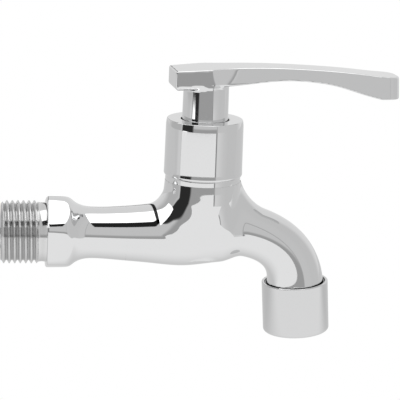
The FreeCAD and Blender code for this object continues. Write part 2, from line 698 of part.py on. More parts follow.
def lever_side():
    # The arched top, and an underside that thins from the hub and deepens into the paddle.
    thin_crest = LEVER_CREST - LEVER_THINNEST
    top = [
        Vector(-TAIL_LENGTH, 0, LEVER_CREST - TAIL_DROP),
        Vector(0, 0, LEVER_CREST - HUB_DROP),
        *[Vector(ARM_LENGTH * way, 0, LEVER_CREST - drop) for way, drop in ARM_TOP_SHAPE],
        Vector(ARM_LENGTH, 0, LEVER_CREST - TIP_DROP),
    ]
    under = [
        Vector(PADDLE_START, 0, PADDLE_FOOT),
        *[Vector(ARM_LENGTH * way, 0, PADDLE_FOOT + rise) for way, rise in PADDLE_UNDER_SHAPE],
        *[Vector(ARM_LENGTH * way, 0, thin_crest - drop) for way, drop in ARM_UNDER_SHAPE],
        Vector(-TAIL_LENGTH, 0, LEVER_CREST - TAIL_DROP - TAIL_THICKNESS),
    ]
    edges = [
        smooth_edge(top),
        Part.makeLine(top[-1], Vector(ARM_LENGTH, 0, PADDLE_FOOT)),
        Part.makeLine(Vector(ARM_LENGTH, 0, PADDLE_FOOT), under[0]),
        smooth_edge(under),
        Part.makeLine(under[-1], top[0]),
    ]
    return Part.Wire(edges)


def grub_hole(start, end):
    return Part.makeCylinder(GRUB_R, end - start, Vector(0, start, GRUB_Z), Vector(0, 1, 0))


def place_lever(shape):
    shape.rotate(Vector(0, 0, 0), Vector(0, 0, 1), LEVER_ANGLE)
    shape.translate(valve_point(0, 0))
    return shape


def handle():
    # The lever is where its plan, narrowing upwards, and its side, drawn across, overlap.
    across = 4 * HUB_R
    full_height = LEVER_CREST + OVERLAP - PADDLE_FOOT
    plan = Part.makeLoft([lever_plan(0), lever_plan(full_height)], True, True)
    side = Part.Face(lever_side()).extrude(Vector(0, across, 0))
    side.translate(Vector(0, -across / 2, 0))
    lever = plan.common(side)
    hub_top = LEVER_CREST - LEVER_THINNEST
    hub = Part.makeCylinder(HUB_R, hub_top - HUB_FOOT, Vector(0, 0, HUB_FOOT))
    lever = place_lever(lever.fuse(hub).cut(grub_hole(0, HUB_R)))
    return lever.cut(serrated_bar(SOCKET_GAP, HUB_FOOT, HUB_SOCKET_TOP))


def handle_grub_screw():
    end = HUB_R - GRUB_SUNK
    screw = grub_hole(end - GRUB_LENGTH, end)
    key = hexagon_hole(Vector(0, 0, 0), GRUB_KEY_FLATS, GRUB_LENGTH / 2)
    key.rotate(Vector(0, 0, 0), Vector(1, 0, 0), 90)
    key.translate(Vector(0, end, GRUB_Z))
    return place_lever(screw.cut(key))


PIECES = {
    "tap_body": tap_body,
    "bonnet": bonnet,
    "bonnet_washer": bonnet_washer,
    "cartridge_body": cartridge_body,
    "cartridge_oring": cartridge_oring,
    "seat_seal": seat_seal,
    "fixed_disc": fixed_disc,
    "moving_disc": moving_disc,
    "spindle": spindle,
    "spindle_oring_lower": lambda: spindle_oring(ORING_LOWER_Z),
    "spindle_oring_upper": lambda: spindle_oring(ORING_UPPER_Z),
    "thrust_washer": thrust_washer,
    "stop_ring": stop_ring,
    "spindle_circlip": spindle_circlip,
    "handle": handle,
    "handle_grub_screw": handle_grub_screw,
    "outlet_ring": outlet_ring,
    "outlet_gasket": outlet_gasket,
    "aerator_housing": aerator_housing,
    "aerator_plate": aerator_plate,
    "aerator_grid": aerator_grid,
}

os.makedirs("parts", exist_ok=True)
for name, make in PIECES.items():
    shape = make()
    box = shape.BoundBox
    print(name, "solids", len(shape.Solids), "valid", shape.isValid(), "volume", round(shape.Volume, 1),
          "x", round(box.XMin, 2), round(box.XMax, 2), "z", round(box.ZMin, 2), round(box.ZMax, 2))
    shape.exportStep("parts/" + name + ".step")
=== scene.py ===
import math

import bpy
import numpy as np
from mathutils import Matrix, Vector


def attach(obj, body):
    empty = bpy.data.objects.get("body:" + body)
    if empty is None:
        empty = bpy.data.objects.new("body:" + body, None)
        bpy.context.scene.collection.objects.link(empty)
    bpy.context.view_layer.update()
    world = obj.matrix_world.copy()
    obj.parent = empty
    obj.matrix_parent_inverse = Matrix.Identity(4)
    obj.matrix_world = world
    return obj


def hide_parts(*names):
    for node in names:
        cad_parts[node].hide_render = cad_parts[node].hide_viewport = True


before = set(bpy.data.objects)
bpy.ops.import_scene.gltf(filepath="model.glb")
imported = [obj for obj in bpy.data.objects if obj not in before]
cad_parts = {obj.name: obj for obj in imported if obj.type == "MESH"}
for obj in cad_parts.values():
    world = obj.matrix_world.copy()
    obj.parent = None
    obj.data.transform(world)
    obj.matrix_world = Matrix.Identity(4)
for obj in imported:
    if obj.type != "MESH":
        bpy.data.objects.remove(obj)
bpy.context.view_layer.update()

# Chromed wall tap. Shapes are worked out in millimetres and stored in metres.
# The origin is on the inlet axis, +X runs from the wall to the spout, +Z is up.
MM = 0.001
VALVE_X = 51.7
TAU = 2 * math.pi


# Curves and distances

SLOPE_STEP = 0.01


def spline(points):
    """A natural cubic curve through (x, y) points, straight past its ends; returns a function of x."""
    xs = np.array([p[0] for p in points], float)
    ys = np.array([p[1] for p in points], float)
    n = len(xs)
    h = np.diff(xs)
    a = np.eye(n)
    rhs = np.zeros(n)
    for i in range(1, n - 1):
        a[i, i - 1:i + 2] = h[i - 1], 2 * (h[i - 1] + h[i]), h[i]
        rhs[i] = 6 * ((ys[i + 1] - ys[i]) / h[i] - (ys[i] - ys[i - 1]) / h[i - 1])
    m = np.linalg.solve(a, rhs)

    def value(x):
        x = np.asarray(x, float)
        i = np.clip(np.searchsorted(xs, x) - 1, 0, n - 2)
        u = np.clip(x, xs[0], xs[-1])
        lo = xs[i + 1] - u
        hi = u - xs[i]
        cubic = (m[i] * lo ** 3 + m[i + 1] * hi ** 3) / (6 * h[i])
        line = (ys[i] / h[i] - m[i] * h[i] / 6) * lo + (ys[i + 1] / h[i] - m[i + 1] * h[i] / 6) * hi
        first = (ys[1] - ys[0]) / h[0] - h[0] * m[1] / 6
        last = (ys[-1] - ys[-2]) / h[-1] + h[-1] * m[-2] / 6
        return cubic + line + np.minimum(x - xs[0], 0) * first + np.maximum(x - xs[-1], 0) * last

    return value


def slope(f, x):
    return (f(x + SLOPE_STEP) - f(x - SLOPE_STEP)) / (2 * SLOPE_STEP)


def ease(low, high, x):
    """Runs softly from 0 to 1 while x goes from low to high; low may be the larger one."""
    t = np.clip((x - low) / (high - low), 0, 1)
    return t * t * (3 - 2 * t)


def soft_min(a, b, k):
    """The smaller of two values, with a soft change where they differ by less than k."""
    h = np.clip(0.5 + 0.5 * (b - a) / k, 0, 1)
    return b * (1 - h) + a * h - k * h * (1 - h)


def round_join(a, b, r):
    """Union of two distances with a fillet of radius r."""
    return np.maximum(r, np.minimum(a, b)) - np.hypot(np.maximum(r - a, 0), np.maximum(r - b, 0))


def round_cut(a, b, r):
    """Intersection of two distances with an edge radius r."""
    return np.minimum(-r, np.maximum(a, b)) + np.hypot(np.maximum(a + r, 0), np.maximum(b + r, 0))


def soft_hexagon_r(turn, flats, softness, first):
    """Distance from the axis to a hexagon with soft corners, one flat facing the angle first."""
    total = 0
    for k in range(6):
        total = total + np.maximum(np.cos(turn - first - k * TAU / 6), 0) ** softness
    return flats / 2 * total ** (-1 / softness)


def rounded_path(corners, radii, steps=7):
    """Points along the lines between (radius, place) corners, each inner corner rounded by its radius."""
    corners = [np.array(corner, float) for corner in corners]
    rows = [corners[0]]
    for k in range(1, len(corners) - 1):
        p = corners[k]
        r = radii[k]
        if r == 0:
            rows.append(p)
            continue
        a = corners[k - 1] - p
        b = corners[k + 1] - p
        a = a / np.linalg.norm(a)
        b = b / np.linalg.norm(b)
        half = np.arccos(np.clip((a * b).sum(), -1, 1)) / 2
        centre = p + (a + b) / np.linalg.norm(a + b) * r / np.sin(half)
        start = p + a * r / np.tan(half) - centre
        end = p + b * r / np.tan(half) - centre
        sweep = math.pi - 2 * half
        for t in np.linspace(0, 1, steps):
            rows.append(centre + (np.sin((1 - t) * sweep) * start + np.sin(t * sweep) * end) / np.sin(sweep))
    rows.append(corners[-1])
    return np.stack(rows)


# Meshes: grids round an axis, and nets over a distance

GRADIENT_STEP = 0.02
NET_PULLS = 6
LEAST_STEEPNESS = 0.2


def grid_normals(p):
    """Normals of a grid (rows, columns, 3) whose columns close on themselves."""
    du = np.roll(p, -1, axis=1) - np.roll(p, 1, axis=1)
    dv = np.empty_like(p)
    dv[1:-1] = p[2:] - p[:-2]
    dv[0] = p[1] - p[0]
    dv[-1] = p[-1] - p[-2]
    n = np.cross(du, dv)
    return n / np.maximum(np.linalg.norm(n, axis=-1, keepdims=True), 1e-12)


class Shape:
    """Gathers grids and nets, then becomes one Blender object."""

    def __init__(self):
        self.points = []
        self.normals = []
        self.faces = []
        self.count = 0

    def add(self, points, normals, faces):
        self.points.append(points)
        self.normals.append(normals)
        self.faces.append(faces + self.count)
        self.count += len(points)

    def grid(self, p, flip=False):
        rows, cols = p.shape[:2]
        normals = grid_normals(p) * (-1 if flip else 1)
        index = np.arange(rows * cols).reshape(rows, cols)
        right = np.roll(index, -1, axis=1)
        quads = np.stack([index[:-1], right[:-1], right[1:], index[1:]], axis=-1).reshape(-1, 4)
        if flip:
            quads = quads[:, ::-1]
        self.add(p.reshape(-1, 3), normals.reshape(-1, 3), quads)

    def make(self, name, material, body, replaced):
        points = np.concatenate(self.points) * MM
        faces = np.concatenate(self.faces)
        mesh = bpy.data.meshes.new(name)
        mesh.from_pydata(points.tolist(), [], faces.tolist())
        mesh.validate()
        mesh.polygons.foreach_set("use_smooth", [True] * len(mesh.polygons))
        mesh.normals_split_custom_set_from_vertices(np.concatenate(self.normals).tolist())
        mesh.materials.append(material)
        piece = bpy.data.objects.new(name, mesh)
        bpy.context.scene.collection.objects.link(piece)
        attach(piece, body)
        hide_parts(*replaced)


def full_turn(count):
    """Angles of a grid's columns, as one row."""
    return np.linspace(0, TAU, count, endpoint=False)[None]


def along_x(r, turns, x):
    """Grid points round the X axis from radii; the turn runs from +Y to +Z."""
    r, turns, x = np.broadcast_arrays(r, turns, x)
    return np.stack([x, r * np.cos(turns), r * np.sin(turns)], axis=-1)


def along_z(r, turns, z):
    """Grid points round the valve's axis from radii."""
    r, turns, z = np.broadcast_arrays(r, turns, z)
    return np.stack([VALVE_X + r * np.cos(turns), r * np.sin(turns), z], axis=-1)


def gradient(distance, p):
    out = np.empty_like(p)
    for axis in range(3):
        move = np.zeros(3)
        move[axis] = GRADIENT_STEP
        out[:, axis] = (distance(p + move) - distance(p - move)) / (2 * GRADIENT_STEP)
    return out


def pull_onto(distance, points, step):
    """Moves points along the gradient, in a few steps, to where the distance is 0."""
    for _ in range(NET_PULLS):
        value = distance(points)
        grad = gradient(distance, points)
        size = np.maximum((grad ** 2).sum(1), LEAST_STEEPNESS)
        points = points - grad * np.clip(value / size, -step, step)[:, None]
    return points


def surface_net(distance, low, high, step, keep):
    """A quad mesh where the distance is 0 in a box, with the faces whose corners all pass keep."""
    axes = [np.arange(lo, hi + step, step) for lo, hi in zip(low, high)]
    shape = [len(a) for a in axes]
    gx, gy, gz = np.meshgrid(*axes, indexing="ij")
    field = distance(np.stack([gx, gy, gz], axis=-1).reshape(-1, 3)).reshape(shape)
    inside = field < 0
    corner_sets = [inside[i:shape[0] - 1 + i, j:shape[1] - 1 + j, k:shape[2] - 1 + k]
                   for i in (0, 1) for j in (0, 1) for k in (0, 1)]
    total = sum(c.astype(int) for c in corner_sets)
    active = (total > 0) & (total < 8)
    cells = np.argwhere(active)
    index = -np.ones([s - 1 for s in shape], int)
    index[active] = np.arange(len(cells))
    points = pull_onto(distance, np.array(low) + (cells + 0.5) * step, step)
    quads = []
    for axis in range(3):
        ahead = np.moveaxis(inside, axis, 0)
        cross = ahead[1:] != ahead[:-1]
        idx = np.moveaxis(index, axis, 0)
        a = idx[:, :-1, :-1]
        b = idx[:, 1:, :-1]
        c = idx[:, 1:, 1:]
        d = idx[:, :-1, 1:]
        mask = cross[:, 1:-1, 1:-1]
        rising = ahead[:-1, 1:-1, 1:-1][mask]
        faces = np.stack([a[mask], b[mask], c[mask], d[mask]], axis=-1)
        if axis == 1:
            rising = ~rising
        faces[~rising] = faces[~rising][:, ::-1]
        quads.append(faces)
    quads = np.concatenate(quads)
    quads = quads[(quads >= 0).all(axis=1)]
    quads = quads[keep(points)[quads].all(axis=1)]
    used = np.unique(quads)
    renumber = -np.ones(len(points), int)
    renumber[used] = np.arange(len(used))
    points = points[used]
    normals = gradient(distance, points)
    normals /= np.maximum(np.linalg.norm(normals, axis=1, keepdims=True), 1e-9)
    return points, normals, renumber[quads]


# Node tools

def math_node(tree, operation, *inputs):
    node = tree.nodes.new("ShaderNodeMath")
    node.operation = operation
    for socket, value in zip(node.inputs, inputs):
        if isinstance(value, (int, float)):
            socket.default_value = value
        else:
            tree.links.new(value, socket)
    return node.outputs[0]


def soft_step(tree, value, start, end, low=0.0, high=1.0):
    """Runs softly from low to high while value goes from start to end."""
    node = tree.nodes.new("ShaderNodeMapRange")
    node.interpolation_type = "SMOOTHSTEP"
    tree.links.new(value, node.inputs["Value"])
    node.inputs["From Min"].default_value = start
    node.inputs["From Max"].default_value = end
    node.inputs["To Min"].default_value = low
    node.inputs["To Max"].default_value = high
    return node.outputs[0]


def all_of(tree, *tests):
    """1 where every (value, comparison, limit) holds, and 0 elsewhere."""
    share = 1.0
    for value, comparison, limit in tests:
        share = math_node(tree, "MULTIPLY", math_node(tree, comparison, value, limit), share)
    return share


def ramp(tree, value, stops):
    """Brightness by a value; stops are (value, brightness). The ramp holds half the brightness."""
    low = stops[0][0]
    high = stops[-1][0]
    node = tree.nodes.new("ShaderNodeValToRGB")
    share = math_node(tree, "DIVIDE", math_node(tree, "SUBTRACT", value, low), high - low)
    tree.links.new(share, node.inputs[0])
    marks = node.color_ramp.elements
    places = [min(max((place - low) / (high - low), 0.0), 1.0) for place, bright in stops]
    marks[0].position = places[0]
    marks[1].position = places[-1]
    for place in places[1:-1]:
        marks.new(place)
    for mark, (place, bright) in zip(marks, stops):
        mark.color = (bright / 2, bright / 2, bright / 2, 1)
    return math_node(tree, "MULTIPLY", node.outputs[0], 2.0)


# Materials

MOTTLE_SCALE = 60


def surface_material(name, colour, metallic, roughness, spread, bump, grain):
    """Principled surface with a faint mottle in colour and roughness, and a fine bump in metres."""
    mat = bpy.data.materials.new(name)
    mat.use_nodes = True
    nodes, links = mat.node_tree.nodes, mat.node_tree.links
    shader = nodes["Principled BSDF"]
    shader.inputs["Metallic"].default_value = metallic
    shader.inputs["IOR"].default_value = 1.45
    place = nodes.new("ShaderNodeTexCoord")
    wide = nodes.new("ShaderNodeTexNoise")
    wide.inputs["Scale"].default_value = MOTTLE_SCALE
    wide.inputs["Detail"].default_value = 4
    fine = nodes.new("ShaderNodeTexNoise")
    fine.inputs["Scale"].default_value = grain
    fine.inputs["Detail"].default_value = 3
    for noise in (wide, fine):
        links.new(place.outputs["Object"], noise.inputs["Vector"])
    tint = nodes.new("ShaderNodeMix")
    tint.data_type = "RGBA"
    tint.inputs[6].default_value = (*[c * (1 - spread) for c in colour], 1)
    tint.inputs[7].default_value = (*[min(c * (1 + spread), 1) for c in colour], 1)
    links.new(wide.outputs["Fac"], tint.inputs[0])
    links.new(tint.outputs[2], shader.inputs["Base Color"])
    rough = nodes.new("ShaderNodeMapRange")
    rough.inputs["To Min"].default_value = roughness[0]
    rough.inputs["To Max"].default_value = roughness[1]
    links.new(fine.outputs["Fac"], rough.inputs["Value"])
    links.new(rough.outputs["Result"], shader.inputs["Roughness"])
    relief = nodes.new("ShaderNodeBump")
    relief.inputs["Strength"].default_value = 1.0
    relief.inputs["Distance"].default_value = bump
    links.new(fine.outputs["Fac"], relief.inputs["Height"])
    links.new(relief.outputs["Normal"], shader.inputs["Normal"])
    return mat


def paint_shade_in_roots(mat, root, crest, dark):
    """Paints shade into a thread's roots: darkens the metal's colour by distance from the object's X axis in
    metres.
    """
    nodes, links = mat.node_tree.nodes, mat.node_tree.links
    shader = nodes["Principled BSDF"]
    plain = shader.inputs["Base Color"].links[0].from_socket
    place = nodes.new("ShaderNodeTexCoord")
    split = nodes.new("ShaderNodeSeparateXYZ")
    links.new(place.outputs["Object"], split.inputs[0])
    flat = nodes.new("ShaderNodeCombineXYZ")
    links.new(split.outputs["Y"], flat.inputs["Y"])
    links.new(split.outputs["Z"], flat.inputs["Z"])
    reach = nodes.new("ShaderNodeVectorMath")
    reach.operation = "LENGTH"
    links.new(flat.outputs[0], reach.inputs[0])
    tint = nodes.new("ShaderNodeMix")
    tint.data_type = "RGBA"
    tint.inputs[6].default_value = (dark, dark, dark, 1)
    links.new(soft_step(mat.node_tree, reach.outputs["Value"], root, crest), tint.inputs[0])
    links.new(plain, tint.inputs[7])
    links.new(tint.outputs[2], shader.inputs["Base Color"])


CHROME = (0.735, 0.737, 0.74)
RING_CHROME = [0.9 * c for c in CHROME]
# Name, colour, metallic, roughness from and to, spread of the colour, bump in metres, scale of the grain
chrome = surface_material("chrome", CHROME, 1.0, (0.02, 0.05), 0.012, 2e-7, 900)
ring_chrome = surface_material("chrome_ring", RING_CHROME, 1.0, (0.03, 0.07), 0.012, 2e-7, 900)
thread_chrome = surface_material("chrome_thread", (0.68, 0.68, 0.68), 1.0, (0.08, 0.16), 0.04, 1e-6, 2500)
# Painted shade: the thread's roots get a darker base colour than its crests.
paint_shade_in_roots(thread_chrome, root=0.00935, crest=0.0099, dark=0.47)
brass = surface_material("raw_brass", (0.80, 0.60, 0.28), 1.0, (0.22, 0.38), 0.08, 4e-6, 1800)
steel = surface_material("spring_steel", (0.42, 0.42, 0.43), 1.0, (0.2, 0.35), 0.08, 3e-6, 2200)
rubber = surface_material("black_rubber", (0.02, 0.02, 0.021), 0.0, (0.45, 0.6), 0.2, 8e-6, 3000)
nylon = surface_material("white_nylon", (0.80, 0.79, 0.75), 0.0, (0.35, 0.5), 0.03, 4e-6, 2500)
ceramic = surface_material("ceramic", (0.86, 0.85, 0.82), 0.0, (0.1, 0.2), 0.02, 1e-6, 2500)
plastic = surface_material("grey_plastic", (0.22, 0.225, 0.23), 0.0, (0.32, 0.48), 0.08, 6e-6, 2600)

BY_NODE = {
    "bonnet_washer": nylon, "cartridge_body": brass, "cartridge_oring": rubber, "seat_seal": rubber,
    "outlet_gasket": rubber, "fixed_disc": ceramic, "moving_disc": ceramic, "aerator_housing": plastic,
    "aerator_plate": plastic, "aerator_grid": plastic, "handle_grub_screw": steel, "spindle_circlip": steel,
    "spindle": brass, "stop_ring": brass, "spindle_oring_lower": rubber, "spindle_oring_upper": rubber,
    "thrust_washer": nylon,
}
for node, material in BY_NODE.items():
    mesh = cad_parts[node].data
    mesh.materials.clear()
    mesh.materials.append(material)


# Inlet spigot: pipe thread, groove before the collar, end face and bore

SPIGOT_END = -14.9
# A G 1/2 thread: outside diameter and pitch
THREAD_DIAMETER = 20.955
PITCH = 1.814
SPIGOT_R = THREAD_DIAMETER / 2 - 0.02
THREAD_PHASE = 0.30
THREAD_DEPTH = 1.1
CREST_SHARE = 0.14
# Along X the thread's depth runs out over the first stretch, and the groove takes over along the second
THREAD_RUN_OUT = (-3.0, -2.2)
GROOVE_START = (-3.1, -2.5)
GROOVE_R = 9.75
GROOVE_MIDDLE = -1.3
GROOVE_HOLLOW = 0.12
# The lead-in cone at the spigot's end
LEAD_R = 9.3
LEAD_SLOPE = 1.1
# The grid ends here, inside the collar
SPIGOT_OVERLAP = 0.4
# The bore runs straight to here, then narrows and closes inside the casting; places are (radius, x)
INLET_BORE = 6.5
BORE_STRAIGHT = 34
BORE_NARROW = (4.8, 44)
BORE_END = (0.01, 46)
BORE_EDGE = 0.3


def thread_radii(turns, xs):
    """Radii of the crests and flanks, by turn round the axis and place along it."""
    phase = (xs / PITCH - turns / TAU + THREAD_PHASE) % 1.0
    flank = np.clip((np.abs(2 * phase - 1) - CREST_SHARE) / (1 - 2 * CREST_SHARE), 0, 1)
    depth = THREAD_DEPTH * (1 - ease(*THREAD_RUN_OUT, xs))
    radii = SPIGOT_R - depth * (1 - flank)
    groove = GROOVE_R + GROOVE_HOLLOW * (xs - GROOVE_MIDDLE) ** 2
    radii = radii + (groove - radii) * ease(*GROOVE_START, xs)
    return np.minimum(radii, LEAD_R + LEAD_SLOPE * (xs - SPIGOT_END))


def make_spigot():
    turns = full_turn(144)
    xs = np.linspace(SPIGOT_END, SPIGOT_OVERLAP, 170)[:, None]
    spigot = Shape()
    spigot.grid(along_x(thread_radii(turns, xs), turns, xs), flip=True)
    corners = [
        (LEAD_R, SPIGOT_END), (INLET_BORE, SPIGOT_END), (INLET_BORE, BORE_STRAIGHT), BORE_NARROW, BORE_END,
    ]
    path = rounded_path(corners, [0, BORE_EDGE, 0, 0, 0])
    spigot.grid(along_x(path[:, :1], turns, path[:, 1:]))
    spigot.make("inlet_thread", thread_chrome, "tap", ["tap_body"])


make_spigot()


# Spout: a tube round a bent line in the XZ plane

# Ends (x, z) of its line, its lift at the start and lean at the end, and how far each pulls the line
SPOUT_START = np.array([VALVE_X, 2.2])
SPOUT_END = np.array([VALVE_X + 32.9, -16.6])
SPOUT_LIFT = math.radians(1.5)
SPOUT_TILT = math.radians(4.3)
START_PULL = 20.8
END_PULL = 12.5
# Radius in the middle, and how much more it is at the start and at the end
SPOUT_R = 8.6
START_SWELL = 1.2
END_SWELL = 1.0
# The line's t runs from 0 to 1, and straight on past the end to this value
SPOUT_PAST = 1.3
POLES = [
    SPOUT_START,
    SPOUT_START + START_PULL * np.array([math.cos(SPOUT_LIFT), math.sin(SPOUT_LIFT)]),
    SPOUT_END - END_PULL * np.array([math.sin(SPOUT_TILT), -math.cos(SPOUT_TILT)]),
    SPOUT_END,
]


def spout_line(t):
    """Points (x, z) of the spout's line."""
    t = np.asarray(t, float)[..., None]
    inner = np.clip(t, 0, 1)
    weights = [(1 - inner) ** 3, 3 * inner * (1 - inner) ** 2, 3 * inner ** 2 * (1 - inner), inner ** 3]
    point = sum(w * p for w, p in zip(weights, POLES))
    return point + (t - inner) * 3 * (POLES[3] - POLES[2])


def spout_rate(t):
    """How fast the line's point moves with t."""
    t = np.clip(np.asarray(t, float), 0, 1)[..., None]
    legs = [POLES[k + 1] - POLES[k] for k in range(3)]
    return 3 * ((1 - t) ** 2 * legs[0] + 2 * t * (1 - t) * legs[1] + t ** 2 * legs[2])


SEARCH_ROW = 53
SEARCH_BATCH = 100000
NEWTON_STEPS = 4
NEWTON_NUDGE = 0.005
LEAST_CHANGE = 200


def nearest_on_spout(flat):
    """The t of the line's nearest point: the best of a coarse row, then a few Newton steps."""
    row = np.linspace(0, SPOUT_PAST, SEARCH_ROW)
    row_points = spout_line(row)
    t = np.empty(len(flat))
    for start in range(0, len(flat), SEARCH_BATCH):
        part = flat[start:start + SEARCH_BATCH]
        apart = ((part[:, None, :] - row_points[None]) ** 2).sum(-1)
        t[start:start + SEARCH_BATCH] = row[np.argmin(apart, axis=1)]
    for _ in range(NEWTON_STEPS):
        rate = spout_rate(t)
        away = spout_line(t) - flat
        curve = (spout_rate(t + NEWTON_NUDGE) - spout_rate(t - NEWTON_NUDGE)) / (2 * NEWTON_NUDGE)
        change = (rate ** 2).sum(-1) + (away * curve).sum(-1)
        t = np.clip(t - (away * rate).sum(-1) / np.maximum(change, LEAST_CHANGE), 0, SPOUT_PAST)
    return t


def spout_distance(p):
    flat = p[:, [0, 2]]
    t = nearest_on_spout(flat)
    swell = (2 * np.clip(t, 0, 1) - 1) ** 2
    radius = SPOUT_R + np.where(t < 0.5, START_SWELL, END_SWELL) * swell
    away = np.hypot(np.linalg.norm(spout_line(t) - flat, axis=-1), p[:, 1])
    return away - radius


# Casting: tube, valve chamber and spout run into each other

# The tube's radius and its axis' height by X, and the chamber's radius by height
tube_r = spline([
    (0, 12.62), (2.5, 12.56), (4, 12.45), (6.3, 12.17), (7.8, 11.4), (9.5, 10.1), (11.4, 9.15), (16, 8.55),
    (24.45, 8.97), (34.4, 9.87), (46, 10.95), (54.5, 10.2), (61.2, 9.55), (70, 9.2),
])
tube_z = spline([(0, 0), (12, -0.03), (22, -0.26), (32, -0.3), (42, -0.1), (48, 0), (68, 0)])
chamber_r = spline([
    (-5.6, 8.0), (0.5, 9.7), (3.4, 10.75), (6.5, 11.8), (12, 12.75), (14.5, 12.73), (17, 12.63), (19, 12.45),
])
# Radius of the blend between chamber and run, over its least value, by how far round it lies: -1 faces
# the wall and 1 the spout. Between these heights it grows from the least value to the full one.
LEAST_BLEND = 0.6
BLEND_RISE = (-5, 2.1)
side_blend = spline([
    (-1, 3.82), (-0.87, 5.32), (-0.65, 5.05), (-0.35, 4.5), (0, 2.0), (0.35, 4.5), (0.65, 3.83), (0.87, 3.8),
    (1, 9.0),
])
# Softness of the change from tube to spout: its least value, what it gains between two heights, and the
# share it loses between two places along the tube
RUN_BLEND = 1.6
RUN_BLEND_GAIN = 2.3
RUN_BLEND_RISE = (-8, 0)
RUN_BLEND_LOSS = 0.55
RUN_BLEND_FADE = (59, 69.5)
# Inside the spout's root the tube grows thinner by this much, and ends
TUBE_FADE_START = 58
TUBE_END = 70
TUBE_FADE = 3.2
# The chamber is this much fuller towards the wall, by how far round, and low down, by height
WALL_FULLNESS = 1.03
FULLNESS_TURN = (0, 0.7)
FULLNESS_FALL = (17, 5)
CHAMBER_FLOOR = -8
# The net ends here along X, here in height, and this far below the spout's mouth
TUBE_SEAM = 26.0
NECK_SEAM = 18.3
SPOUT_SEAM = 3
NET_STEP = 0.5
NET_LOW = (25, -14.4, -20)
NET_HIGH = (97, 14.4, 19.4)


def casting_distance(p):
    x, y, z = p.T
    tube = (np.hypot(y, z - tube_z(x)) - tube_r(x)) / np.sqrt(1 + slope(tube_r, x) ** 2)
    tube = np.maximum(tube + TUBE_FADE * ease(TUBE_FADE_START, TUBE_END, x), x - TUBE_END)
    radial = np.hypot(x - VALVE_X, y)
    sideways = (x - VALVE_X) / np.maximum(radial, 0.01)
    fullness = WALL_FULLNESS * ease(*FULLNESS_TURN, -sideways) * ease(*FULLNESS_FALL, z)
    chamber = (radial - chamber_r(z) - fullness) / np.sqrt(1 + slope(chamber_r, z) ** 2)
    chamber = np.maximum(chamber, CHAMBER_FLOOR - z)
    run_blend = RUN_BLEND + RUN_BLEND_GAIN * ease(*RUN_BLEND_RISE, z)
    run_blend = run_blend * (1 - RUN_BLEND_LOSS * ease(*RUN_BLEND_FADE, x))
    run = soft_min(tube, spout_distance(p), run_blend)
    blend = LEAST_BLEND + side_blend(sideways) * ease(*BLEND_RISE, z)
    return round_join(run, chamber, blend)


def casting_keep(p):
    """Leaves out the tube before its seam, the neck above its seam, and the spout below its seam."""
    down = (p[:, 0] - SPOUT_END[0]) * math.sin(SPOUT_TILT) - (p[:, 2] - SPOUT_END[1]) * math.cos(SPOUT_TILT)
    in_spout = (down < SPOUT_SEAM) | (p[:, 0] < TUBE_END)
    return (p[:, 0] > TUBE_SEAM) & (p[:, 2] < NECK_SEAM) & in_spout


# Places of the neck's outline, as (radius, height)
NECK_FOOT = (12.40, 18.0)
NECK_SIDE = (12.50, NECK_SEAM)
NECK_TOP_R = 12.42
NECK_TOP = 20.2
NECK_EDGE = 0.2
NUT_SEAT_R = 10.8
NUT_SEAT_TOP = 25.5
CHAMBER_BORE = 8.95
CHAMBER_BORE_FOOT = 12


def neck_top():
    """The neck from just below its seam, cut back square under the nut, and the chamber's bore."""
    corners = [
        NECK_FOOT, NECK_SIDE, (NECK_TOP_R, NECK_TOP), (NUT_SEAT_R, NECK_TOP), (NUT_SEAT_R, NUT_SEAT_TOP),
        (CHAMBER_BORE, NUT_SEAT_TOP), (CHAMBER_BORE, CHAMBER_BORE_FOOT),
    ]
    path = rounded_path(corners, [0, 0, NECK_EDGE, 0, 0, 0, 0])
    return along_z(path[:, :1], full_turn(256), path[:, 1:])


COLLAR_FLATS = 23.0
COLLAR_EDGE = 0.75
COLLAR_SOFTNESS = 14
COLLAR_FIRST_FLAT = math.radians(10)
COLLAR_BLEND = 0.6
COLLAR_END_INNER_R = 9.0
# Past its seam the collar's grid sinks this far into the net, over this length
SEAM_SINK = 0.03
SEAM_RUN = 0.4


def add_collar(shape):
    """A soft hexagon turned down into the tube, past its seam with the net, and its flat end."""
    turns = full_turn(360)
    xs = np.concatenate([
        np.linspace(0, 0.9, 10), np.linspace(1.2, 4.5, 5), np.linspace(5, 12, 57), np.linspace(12.3, 26, 46),
        np.linspace(26.2, 26.8, 3),
    ])[:, None]
    left = np.maximum(COLLAR_EDGE - xs, 0)
    rounding = COLLAR_EDGE - np.sqrt(COLLAR_EDGE ** 2 - left ** 2)
    hexagon = soft_hexagon_r(turns, COLLAR_FLATS, COLLAR_SOFTNESS, COLLAR_FIRST_FLAT)
    radii = soft_min(hexagon, tube_r(xs), COLLAR_BLEND) - rounding
    radii = radii - SEAM_SINK * ease(TUBE_SEAM, TUBE_SEAM + SEAM_RUN, xs)
    collar = along_x(radii, turns, xs)
    collar[..., 2] += tube_z(xs)
    shape.grid(collar, flip=True)
    rim = radii[0]
    end = np.stack([np.full_like(rim, COLLAR_END_INNER_R), rim])
    shape.grid(along_x(end, turns, np.zeros((2, 1))), flip=True)


casting = Shape()
casting.add(*surface_net(casting_distance, NET_LOW, NET_HIGH, NET_STEP, casting_keep))
casting.grid(neck_top())
add_collar(casting)
casting.make("casting", chrome, "tap", ["tap_body"])


# Outlet ring: radii, and places measured down the spout from its mouth

RING_R = 11.2
RING_LENGTH = 17.3
RIM_R = 10.3
RIM_DEPTH = 2.0
RING_BORE = 9.65
LIP_R = 8.8
LIP_TOP = 11.2
# The rim's floor reaches this far in past the bore's wall, and the wall stops this far below the floor
FLOOR_LAP = 0.03
WALL_GAP = 0.6
RING_EDGES = [0, 0, 0.15, 0.25, 1.0, 0.3, 0, 0, 0]


